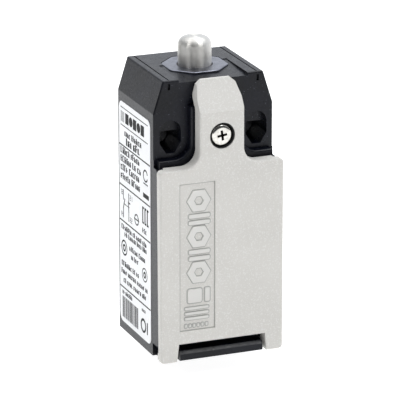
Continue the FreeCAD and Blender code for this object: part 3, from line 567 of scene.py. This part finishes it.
@dataclass
class Print:
    """Flat marks on a face: thin raised shapes, drawn in (across, up) millimetres from a corner."""

    place: Matrix  # where the face's local axes stand
    thick: float = 0.015  # how far the marks stand out, in millimetres
    sunk: float = 0.004  # how far they reach into the face, in millimetres
    shape: Shape = field(default_factory=Shape)  # the marks so far

    def area(self, outline: list[Pair]) -> None:
        """A filled outline."""
        self.shape.prism(outline, -self.sunk, self.thick, self.place)

    def bar(self, x0: float, y0: float, x1: float, y1: float) -> None:
        """A filled rectangle."""
        self.area([(x0, y0), (x1, y0), (x1, y1), (x0, y1)])

    def stroke(self, x0: float, y0: float, x1: float, y1: float, wide: float = 0.18) -> None:
        """A straight line with square ends."""
        run = Vector((x1 - x0, y1 - y0)).normalized() * wide / 2
        side = Vector((-run.y, run.x))
        start, end = Vector((x0, y0)) - run, Vector((x1, y1)) + run
        self.area([tuple(start - side), tuple(end - side), tuple(end + side),
                   tuple(start + side)])

    def ring(self, x: float, y: float, radius: float, wide: float = 0.2, start: float = 0.0,
             sweep: float = 360.0) -> None:
        """A circle or an arc drawn as a line.

        Args:
            x: centre, across.
            y: centre, up.
            radius: middle of the line.
            wide: width of the line.
            start: where an arc begins, in degrees.
            sweep: how far it goes, in degrees.
        """
        fewest, step_deg = 8, 12
        steps = max(fewest, int(sweep / step_deg))
        inner, outer = radius - wide / 2, radius + wide / 2
        for i in range(steps):
            a, b = (math.radians(start + sweep * (i + k) / steps) for k in (0, 1))
            corners = polar(inner, a), polar(outer, a), polar(outer, b), polar(inner, b)
            self.area([(x + across, y + up) for across, up in corners])

    def words(self, x0: float, y: float, x1: float, high: float, draw: random.Random,
              weight: float = 0.36) -> None:
        """A line of small type that can't be read: upright and level strokes in word-long groups.

        Args:
            x0: where the line begins.
            y: its foot.
            x1: where it ends at the latest.
            high: height of a tall figure.
            draw: the random numbers used.
            weight: width of an upright stroke, as a share of the height.
        """
        x, pen, word_gap = x0, high * weight, 0.45
        while x < x1 - high:
            for _ in range(draw.randint(2, 7)):
                cell = high * draw.choice((0.62, 0.74, 0.86))
                if x + cell > x1:
                    break
                tall = high * draw.choice((0.78, 0.78, 1.0))
                self.bar(x, y, x + pen, y + tall)
                right = x + cell * 0.8
                for level in draw.sample((0.0, 0.42, 0.84), draw.choice((1, 2, 2))):
                    self.bar(x + pen, y + tall * level, right, y + tall * level + high * 0.17)
                if draw.random() < 0.4:
                    self.bar(right - pen * 0.7, y, right, y + tall * 0.7)
                x += cell
            x += high * word_gap

    def digits(self, x: float, y: float, high: float, figures: str) -> None:
        """Terminal numbers in plain strokes.

        Args:
            x: left edge of the first figure.
            y: foot of the figures.
            high: their height.
            figures: the number.
        """
        wide, pen = high * 0.5, high * 0.13
        lines = {"1": "bc", "2": "abged", "3": "abgcd", "4": "fgbc"}
        ends = {"a": (0, 1, 1, 1), "b": (1, 1, 1, 0.5), "c": (1, 0.5, 1, 0), "d": (0, 0, 1, 0),
                "e": (0, 0.5, 0, 0), "f": (0, 1, 0, 0.5), "g": (0, 0.5, 1, 0.5)}
        for i, figure in enumerate(figures):
            left = x + i * wide * 1.6
            for line in lines[figure]:
                ax, ay, bx, by = ends[line]
                self.stroke(left + ax * wide, y + ay * high, left + bx * wide, y + by * high, pen)


# ---------------------------------------------------------------- sub-assemblies

@dataclass
class CrossScrew:
    """A pan-head screw with a tapered cross recess and a rolled thread, facing the front."""

    seat: Triple  # centre of the face that the head bears on, in millimetres
    head_radius: float  # radius of the head
    head_high: float  # height of the head
    radius: float  # the thread's outer radius
    length: float  # shank below the head
    pitch: float  # rise of the thread in one turn
    arm: float  # size of the cross recess
    turn_deg: float = 8.0  # how far the recess is turned

    def add_to(self, body: Shape, cutter: Shape) -> None:
        """Adds the screw to a shape, and its recess to that shape's cutter."""
        place = Facing.FRONT.at(*self.seat)
        r, high, core = self.head_radius, self.head_high, self.radius * 0.84
        flat, rim = 0.60, 0.42  # shares of the head: its flat middle and its upright side
        steps = 8
        profile = [(0.0, -self.length), (core - 0.35, -self.length), (core, -self.length + 0.45),
                   (core, -0.05), (core + 0.15, 0.0), (r - 0.12, 0.0), (r, 0.12), (r, high * rim)]
        for i in range(1, steps):
            turn = math.radians(90 * i / steps)
            profile.append((r * (flat + (1 - flat) * math.cos(turn)),
                            high * (rim + (1 - rim) * math.sin(turn) ** 0.9)))
        profile += [(r * flat, high), (0.0, high + 0.01)]
        body.lathe(profile, place, 72)
        body.thread(core, self.radius, -self.length + 0.3, -0.2, self.pitch, place)
        a, w = self.arm * 0.62, self.arm * 0.15  # half length and half width of the cross's arms
        plus = [(w, -a), (w, -w), (a, -w), (a, w), (w, w), (w, a), (-w, a), (-w, w), (-a, w),
                (-a, -w), (-w, -w), (-w, -a)]
        turned = place @ Matrix.Rotation(math.radians(self.turn_deg), 4, "Z")
        taper = 1.62
        cutter.prism(plus, high - 1.3, high + 0.3, turned, taper)
        cutter.lathe([(0.0, high - 1.5), (w * 1.2, high - 1.25), (w * 2.6, high + 0.33),
                      (0.0, high + 0.34)], turned, 32)


def fit_screws(name: str, body: str, node: str, screws: list[CrossScrew]) -> None:
    """Makes one piece of the screws, in place of their CAD node."""
    made, cutter = Shape(), Shape()
    for screw in screws:
        screw.add_to(made, cutter)
    # The recesses take the darker steel: painted shade.
    made.build(name, NICKEL, body, "plated_screws", cutter=cutter, stands_for=(node,),
               inside=RECESS_SHADE_STEEL)


@dataclass
class Spring:
    """A round-wire compression spring with closed ends."""

    name: str  # the CAD node that it replaces
    low: float  # height of its lower end, in millimetres
    high: float  # height of its upper end
    radius: float  # radius of the coil's centre line
    wire: float  # radius of the wire
    turns: float  # number of turns, closed ends included
    body: str  # the body its lower end rests on
    joint: str  # the joint that closes it
    left: float  # share of its length left at the joint's limit
    centre: Pair = (0.0, 2.87)  # (x, y) of its axis

    def build(self) -> bpy.types.Object:
        """Winds the spring."""
        closed = 0.75  # turns laid against their neighbour at each end
        steps = int(self.turns * WIRE_STEPS)
        span = self.high - self.low - 2 * self.wire
        dead = 2 * self.wire * 0.9  # rise of one closed turn
        x, y = self.centre
        path = []
        for i in range(steps + 1):
            turn = self.turns * i / steps
            live = min(max((turn - closed) / (self.turns - 2 * closed), 0.0), 1.0)
            ends = min(turn, closed) + max(turn - self.turns + closed, 0.0)
            rise = dead * ends + live * (span - 2 * closed * dead)
            across, along = polar(self.radius, math.tau * turn)
            path.append(Vector((x + across, y + along, self.low + self.wire + rise)))
        section = [polar(self.wire, math.tau * i / WIRE_SIDES) for i in range(WIRE_SIDES)]
        coil = Shape().tube(path, section, Vector((x, y, 0)))
        piece = coil.build(self.name + "_coil", SPRING_WIRE, self.body, "spring_wire",
                           stands_for=(self.name,), soft_deg=60)
        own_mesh(piece)
        return piece


@dataclass
class Housing:
    """The die-cast case and what is fixed in its walls."""

    entry: Triple = (0.0, 1.9, 0.0)
    entry_radius: float = 9.25
    entry_crest: float = 8.75
    entry_deep: float = 10.0
    pitch: float = 1.5

    def build(self) -> None:
        """Dresses the case and adds the cable entry's thread."""
        dress("housing", POWDER_COAT)
        dress("cover_gasket", RUBBER)
        dress("hinge_pin", STEEL_PIN)
        dress("cover_screw_insert", BRASS)
        ridge = Shape().thread(self.entry_radius, self.entry_crest, 0.6, self.entry_deep - 0.3,
                               self.pitch, Facing.UP.at(*self.entry))
        ridge.build("entry_thread", POWDER_COAT, "housing", "die_cast_black", soft_deg=50)


@dataclass
class Cover:
    """The hinged front cover, its moulded panel and its screw."""

    front: float = -14.7  # y of the cover's face, in millimetres
    # Left, bottom, right and top of the sunk panel.
    panel: tuple[float, float, float, float] = (-10.75, 7.6, -1.8, 43.9)
    sunk: float = 0.25  # how deep the panel lies
    seat: float = -12.9  # y of the face under the screw's head
    screw_z: float = 54.65  # height of the screw

    def build(self) -> None:
        """Dresses the cover and adds its relief, ribs and screw."""
        dress("front_cover", GREY_POLYAMIDE)
        dress("cover_screw_seal", RUBBER)
        marks, shade_outlines = self.relief()
        marks.build("panel_relief", GREY_RELIEF, "cover", "grey_moulding")
        # Painted shade: a darker grey band round the foot of each mark and along the panel's edges.
        shade_outlines.build("panel_relief_painted_shade", GREY_PAINTED_SHADE, "cover", "grey_moulding")
        self.ribs().build("cover_ribs", GREY_POLYAMIDE, "cover", "grey_moulding", bevel_mm=0.12)
        self.grommet().build("screw_grommet", RUBBER, "cover", "black_rubber")
        fit_screws("cover_screw_body", "cover_screw", "cover_screw", [
            CrossScrew((0.0, self.seat, self.screw_z), head_radius=2.75, head_high=1.6,
                       radius=1.7, length=5.4, pitch=0.6, arm=1.3)])

    def relief(self) -> tuple[Shape, Shape]:
        """Raised marks of the panel: hexagons and bars in a column over three ribs.

        Returns:
            The marks, level with the cover's face, and the painted shade round the foot of each of
            them and along the panel's edges.
        """
        x0, z0, x1, z1 = self.panel
        low, floor, high = -self.sunk - 0.03, -self.sunk + 0.015, -0.01
        edge, foot = 0.08, 0.22  # how far a mark's rim slopes out, and the width of the painted shade round its foot
        place = Facing.FRONT.at(0.0, self.front, 0.0)
        made, shade = Shape(), Shape()

        def pad(left: float, bottom: float, right: float, top: float, radius: float) -> None:
            """A pad whose rim slopes a little, and a band of painted shade round its foot."""
            made.prism(rounded(left, bottom, right, top, radius), low, high, place,
                       1 - 2 * edge / (right - left))
            shade.prism(rounded(left - foot, bottom - foot, right + foot, top + foot,
                                radius + foot), low, floor, place)

        def nut(x: float, z: float, outer: float, inner: float) -> None:
            """A raised hexagon with a hexagonal hole, and a band of painted shade round its foot.
            """
            spot = Facing.FRONT.at(x, self.front, z)
            hole, wall = inner - edge - foot, outer + edge + foot
            made.lathe([(inner - edge, low), (outer + edge, low), (outer, high), (inner, high)],
                       spot, 6)
            shade.lathe([(hole, low), (wall, low), (wall, floor), (hole, floor)], spot, 6)

        for drop in (4.4, 13.2, 22.0):
            nut(x1 - 4.1, z1 - drop, 2.9, 1.25)
        for z in (z1 - 8.6, z1 - 10.2, z1 - 17.4, z1 - 19.0):
            pad(x0 + 2.3, z, x1 - 1.3, z + 0.95, 0.3)
        pad(x0 + 2.0, z1 - 29.5, x1 - 3.3, z1 - 26.0, 0.5)
        pad(x1 - 2.6, z1 - 29.5, x1 - 1.3, z1 - 26.0, 0.3)
        rib_step, dash_step = 1.25, 1.05
        for i in range(3):
            pad(x0 + 1.3, z1 - 31.1 - rib_step * i, x1 - 1.6, z1 - 30.5 - rib_step * i, 0.2)
        for i in range(6):
            pad(x0 + 1.3 + dash_step * i, z0 + 0.8, x0 + 1.85 + dash_step * i, z0 + 1.6, 0.15)
        # Painted shade along the inside of the panel's four edges.
        for box in ((x0, z0, x0 + foot, z1), (x1 - foot, z0, x1, z1),
                    (x0, z1 - foot, x1, z1), (x0, z0, x1, z0 + foot)):
            shade.prism(rounded(*box, 0.05, 1), low, floor, place)
        return made, shade

    def grommet(self) -> Shape:
        """A rubber cup that lines the screw's recess."""
        hole, inner, outer, floor = 1.95, 2.9, 3.12, 0.12
        rim = self.seat - self.front - 0.25
        return Shape().lathe([(hole, 0.0), (outer, 0.0), (outer, rim), (inner, rim),
                              (inner, floor), (hole, floor)],
                             Facing.FRONT.at(0.0, self.seat - 0.01, self.screw_z), 72)

    def ribs(self) -> Shape:
        """Stiffening ribs inside the cover's shell."""
        made = Shape()
        back, floor = -11.5, self.front + 1.8
        for x in (-7.5, 0.0, 7.5):
            made.block((x - 0.45, floor - 0.1, 8.6), (x + 0.45, back - 0.6, 44.6))
        for z in (16.0, 26.5, 37.0):
            made.block((-12.9, floor - 0.1, z - 0.4), (12.9, back - 0.7, z + 0.4))
        return made


@dataclass
class RatingLabel:
    """The printed film on the case's left side, with plain marks only."""

    face: float = -15.1  # x of the film's outer face, in millimetres
    back: float = 13.5  # y of its rear edge, where the print's own x begins
    wide: float = 20.5  # width of the film
    rules: tuple[float, ...] = (46.7, 36.7, 27.8, 11.0)  # heights of the ruled lines

    def build(self) -> None:
        """Dresses the film and prints it."""
        dress("rating_label", FILM)
        sheet = Print(Facing.LEFT.at(self.face, self.back, 0.0))
        draw = random.Random(7)
        self.heading(sheet, draw)
        self.ratings(sheet, draw)
        self.diagram(sheet)
        self.small_print(sheet, draw)
        self.barcode(sheet, draw)
        sheet.shape.build("label_print", INK, "housing", "white_label")

    def heading(self, sheet: Print, draw: random.Random) -> None:
        """Two inset lines round a row of plain squares and discs, and two lines of type."""
        for z in (56.1, 51.7):
            sheet.stroke(1.2, z, self.wide - 1.6, z, 0.22)
        for i in range(5):
            x = 5.3 + 2.55 * i
            if i % 2:
                sheet.area(disc(x, 53.9, 1.2, 24))
            else:
                sheet.bar(x - 1.1, 52.6, x + 1.1, 55.2)
        for i in range(4):
            sheet.stroke(1.4 + 0.62 * i, 52.7, 1.4 + 0.62 * i, 55.0, 0.26)
        sheet.words(3.6, 49.4, 15.8, 1.45, draw)
        sheet.words(4.6, 47.3, 16.4, 1.85, draw, 0.42)
        for z in self.rules:
            sheet.stroke(0.3, z, self.wide - 0.3, z, 0.34)

    def ratings(self, sheet: Print, draw: random.Random) -> None:
        """Four lines of type with a plain symbol and a bar beside them."""
        for z in (44.7, 42.6, 40.5, 38.3):
            sheet.words(0.9, z, 14.6, 1.6, draw)
        sheet.ring(17.4, 43.4, 1.35, 0.4, 20, 320)
        sheet.stroke(16.2, 41.4, 18.8, 41.4, 0.3)
        sheet.bar(15.8, 37.9, 19.6, 39.0)

    def diagram(self, sheet: Print) -> None:
        """The contact diagram: an opening and a closing contact, linked, with their numbers."""
        for x, lean in ((2.6, 0.9), (6.2, -0.2)):
            sheet.stroke(x, 35.6, x, 33.4, 0.36)
            sheet.stroke(x, 31.2, x, 28.9, 0.36)
            sheet.stroke(x, 31.2, x + lean, 33.5, 0.42)
        sheet.stroke(6.2, 33.4, 7.0, 33.4, 0.36)
        for i in range(4):
            sheet.stroke(2.9 + 1.0 * i, 32.3, 3.4 + 1.0 * i, 32.3, 0.26)
        for x, z, figures in ((0.7, 34.4, "13"), (0.7, 28.9, "14"), (7.0, 34.4, "21"),
                              (7.0, 28.9, "22")):
            sheet.digits(x, z, 1.1, figures)
        sheet.ring(11.4, 30.8, 1.25, 0.34)
        sheet.stroke(9.9, 30.8, 12.9, 30.8, 0.3)
        sheet.stroke(12.9, 30.8, 12.3, 31.3, 0.3)
        low, high = 31.2, 35.4
        for x in (15.2, 16.7, 18.2):
            sheet.bar(x, low, x + 0.6, high)
            sheet.bar(x, high - 0.5, x + 1.1, high)
            sheet.bar(x, low, x + 1.1, low + 0.5)
        sheet.words(15.2, 28.9, 19.2, 1.2, random.Random(3))

    def small_print(self, sheet: Print, draw: random.Random) -> None:
        """Lines of small type round two plain rings."""
        for x, z, end in ((1.2, 25.7, 19.4), (3.2, 24.2, 19.0), (6.4, 21.6, 18.6),
                          (7.6, 19.7, 14.0), (1.2, 16.5, 13.4), (1.0, 14.5, 18.8),
                          (2.4, 12.4, 18.4)):
            sheet.words(x, z, end, 1.25, draw, 0.4)
        sheet.ring(3.0, 21.2, 1.75, 0.42)
        sheet.ring(3.0, 21.2, 0.7, 0.5)
        sheet.ring(16.6, 18.6, 1.6, 0.3)
        sheet.ring(16.6, 18.6, 0.6, 0.5)

    def barcode(self, sheet: Print, draw: random.Random) -> None:
        """Bars of random widths, a line of type over them and a plain mark beside them."""
        x, end = 1.6, 12.0
        sheet.words(x, 9.3, 9.6, 1.1, draw)
        while x < end:
            thick = draw.choice((0.16, 0.16, 0.3, 0.44))
            sheet.bar(x, 3.4, x + thick, 8.7)
            x += thick + draw.choice((0.18, 0.18, 0.34))
        sheet.words(14.6, 9.0, 17.4, 0.9, draw)
        sheet.ring(15.6, 5.6, 1.5, 0.6)
        sheet.bar(17.9, 4.1, 18.5, 7.1)


@dataclass
class Head:
    """Plate, bush, wiper, plunger and return spring."""

    axis: Pair = (0.0, 2.87)  # (x, y) of the plunger's axis, in millimetres
    radius: float = 4.0  # radius of its barrel
    flat: float = 1.9  # radius of the flat in the middle of its tip

    def build(self) -> None:
        """Dresses the fixed parts, and turns the plunger."""
        dress("head_plate", ZINC_PLATE)
        dress("plunger_guide_bush", BRONZE)
        dress("plunger_seal", RUBBER)
        self.plunger().build("plunger_body", POLISHED_STEEL, "plunger", "stainless_steel",
                             stands_for=("plunger",), soft_deg=32)
        Spring("plunger_spring", low=47.4, high=56.0, radius=4.3, wire=0.4, turns=5.0,
               body="housing", joint="plunger_press", left=3.6 / 8.6).build()

    def plunger(self) -> Shape:
        """The plunger: chamfered stem, collar, ground barrel and domed tip."""
        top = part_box("plunger")[1].z / MM
        stem = [(0.0, 46.05), (1.9, 46.05), (2.4, 46.55), (2.4, 55.7), (2.6, 56.0)]
        collar = [(5.3, 56.0), (5.6, 56.3), (5.6, 57.45), (5.35, 57.75), (4.15, 57.75)]
        barrel = [(3.92, 58.0), (3.92, 59.0), (4.0, 59.1), (4.0, top - self.radius + self.flat)]
        profile = stem + collar + barrel
        dome, steps = self.radius - self.flat, 14
        for i in range(1, steps + 1):
            turn = math.radians(90 * i / steps)
            profile.append((self.flat + dome * math.cos(turn), top - dome + dome * math.sin(turn)))
        profile += [(self.flat * 0.5, top), (0.0, top)]
        return Shape().lathe(profile, Facing.UP.at(self.axis[0], self.axis[1], 0.0), 128)


@dataclass
class ContactBlock:
    """Block, lid, terminals and the moving contacts in its chamber."""

    terminal_x: float = 9.85  # distance of the terminals from the middle, in millimetres
    upper: float = 41.0  # height of the upper terminals
    lower: float = 28.5  # height of the lower terminals
    clamp_front: float = -2.35  # y of the clamp plates' front face

    def build(self) -> None:
        """Dresses the mouldings and contacts, and makes the springs, fixings and marks."""
        dress("contact_block_base", BLOCK_PLASTIC)
        dress("contact_block_lid", LID_PLASTIC)
        dress("block_actuator", ACETAL)
        dress("contact_carriage", ACETAL)
        for node in ("fixed_contacts_upper", "fixed_contacts_lower", "opening_contact_bridge",
                     "closing_contact_bridge"):
            dress(node, BRASS)
        for node in ("fixed_contact_tips_upper", "fixed_contact_tips_lower", "opening_contact_tips",
                     "closing_contact_tips"):
            dress(node, SILVER)
        dress("bridge_springs", SPRING_WIRE)
        Spring("overtravel_spring", low=37.41, high=44.89, radius=1.9, wire=0.25, turns=7.0,
               body="carriage", joint="actuator_press", left=0.547).build()
        Spring("carriage_spring", low=24.01, high=28.79, radius=0.95, wire=0.175, turns=7.0,
               body="housing", joint="carriage_travel", left=0.666).build()
        self.fixings()
        self.marks()

    def spots(self) -> list[Pair]:
        """Centres of the four terminals."""
        return [(side * self.terminal_x, z) for side in (-1, 1) for z in (self.upper, self.lower)]

    def fixings(self) -> None:
        """Terminal screws over their clamp plates, and the block's and the earth's screws."""
        fit_screws("terminal_screw_bodies", "housing", "terminal_screws", [
            CrossScrew((x, self.clamp_front - 0.01, z), head_radius=2.4, head_high=1.78,
                       radius=1.7, length=7.7, pitch=0.6, arm=1.35) for x, z in self.spots()])
        dress("terminal_clamps", ZINC_PLATE)
        for name, seat, radius, length, node in (
                ("block_screw_body", (0.0, 6.78, 18.8), 1.45, 6.4, "block_fixing_screw"),
                ("earth_screw_body", (-9.3, 6.98, 15.0), 1.7, 6.2, "earth_screw")):
            fit_screws(name, "housing", node, [
                CrossScrew(seat, head_radius=2.7, head_high=1.76, radius=radius, length=length,
                           pitch=0.5, arm=1.5)])
        dress("earth_clamp", ZINC_PLATE)

    def marks(self) -> None:
        """Terminal numbers beside the cells."""
        lid_front = -4.6
        sheet = Print(Facing.FRONT.at(0.0, lid_front, 0.0), 0.02)
        for x, z, figures in ((-6.2, 40.4, "21"), (3.9, 40.4, "22"), (-6.2, 27.9, "13"),
                              (3.9, 27.9, "14")):
            sheet.digits(x, z, 1.5, figures)
        sheet.shape.build("terminal_numbers", INK, "housing", "block_moulding")


@dataclass
class Studio:
    """Floor, lamps, sky and camera.

    Attributes:
        eye: the camera's place, in millimetres.
        turn_deg: how far it stands round from the front.
        tilt_deg: how far it looks down.
        lens: its focal length, in millimetres.
        table_low: how far the table lies under the object, in millimetres.
        aim_z: height that the lamps point at, in metres.
        sky_way: where the sky is brightest.
        sky_colour: a little cool.
        sky_low: its strength on the dark side.
        sky_high: its strength on the bright side.
        lamps: each one's name, place in metres, side in metres and power in watts.
    """

    eye: Triple = (-296.73, -742.80, 293.83)
    turn_deg: float = -21.79
    tilt_deg: float = 17.96
    lens: float = 318.84
    table_low: float = 4.5
    aim_z: float = 0.04
    sky_way: Triple = (0.45, 0.5, 0.74)
    sky_colour: tuple[float, float, float, float] = (0.92, 0.95, 1.0, 1.0)
    sky_low: float = 0.1
    sky_high: float = 1.2
    lamps: tuple[tuple[str, Triple, float, float], ...] = (
        ("top_softbox", (0.1, 0.2, 1.1), 1.5, 9.0),
        ("right_softbox", (0.36, -0.45, 0.93), 0.42, 2.8),
        ("left_softbox", (-0.79, -0.30, 0.71), 0.42, 1.5),
    )

    def build(self) -> None:
        """Sets the stage."""
        self.floor()
        self.camera()
        self.world()
        for name, where, size, power in self.lamps:
            self.lamp(name, where, size, power)
        bpy.context.scene.view_settings.view_transform = "Standard"

    def floor(self) -> None:
        """A wide lit table, low enough for the open cover to clear it."""
        half, thick = 3000, 2
        made = Shape().block((-half, -half, -self.table_low - thick), (half, half, -self.table_low))
        table = stand("light_table", made.mesh("light_table"))
        table.data.materials.append(FLOOR.material())

    def camera(self) -> None:
        """The camera, level and with no shift."""
        data = bpy.data.cameras.new("camera")
        data.lens, data.sensor_width = self.lens, 36.0
        data.clip_start, data.clip_end = 0.05, 20.0
        camera = stand("camera", data)
        turn, tilt = math.radians(self.turn_deg), math.radians(self.tilt_deg)
        back = Vector((math.sin(turn) * math.cos(tilt), -math.cos(turn) * math.cos(tilt),
                       math.sin(tilt)))
        camera.location = Vector(self.eye) * MM
        camera.rotation_mode = "QUATERNION"
        camera.rotation_quaternion = back.to_track_quat("Z", "Y")
        bpy.context.scene.camera = camera

    def world(self) -> None:
        """Light from all round, strongest from above and behind on the right."""
        world = bpy.data.worlds.new("studio")
        bpy.context.scene.world = world
        world.use_nodes = True
        tree = world.node_tree
        tree.nodes.clear()
        look = add(tree, "TexCoord").outputs["Generated"]
        way = add(tree, "VectorMath", {"operation": "DOT_PRODUCT"},
                  {0: look, 1: self.sky_way}).outputs["Value"]
        strength = add(tree, "MapRange", {"interpolation_type": "SMOOTHSTEP"}, {
            "Value": way, "From Min": 0.15, "From Max": 0.8,
            "To Min": self.sky_low, "To Max": self.sky_high,
        }).outputs[0]
        glow = add(tree, "Background", None,
                   {"Color": self.sky_colour, "Strength": strength})
        add(tree, "OutputWorld", None, {"Surface": glow.outputs[0]})

    def lamp(self, name: str, where: tuple[float, float, float], size: float, power: float) -> None:
        """A square softbox aimed at the middle of the object.

        Args:
            name: the lamp's name.
            where: its place, in metres.
            size: its side, in metres.
            power: its power, in watts.
        """
        data = bpy.data.lights.new(name, "AREA")
        data.size, data.energy = size, power
        lamp = stand(name, data)
        lamp.location = where
        aim = Vector(where) - Vector((0, 0, self.aim_z))
        lamp.rotation_mode = "QUATERNION"
        lamp.rotation_quaternion = aim.to_track_quat("Z", "Y")


def main() -> None:
    """Builds everything in order."""
    logging.basicConfig(level=logging.INFO, format="%(name)s: %(message)s")
    Studio().build()
    for part in (Housing(), Cover(), RatingLabel(), Head(), ContactBlock()):
        part.build()
        LOG.info("%s done", type(part).__name__)


if __name__ == "__main__":
    main()
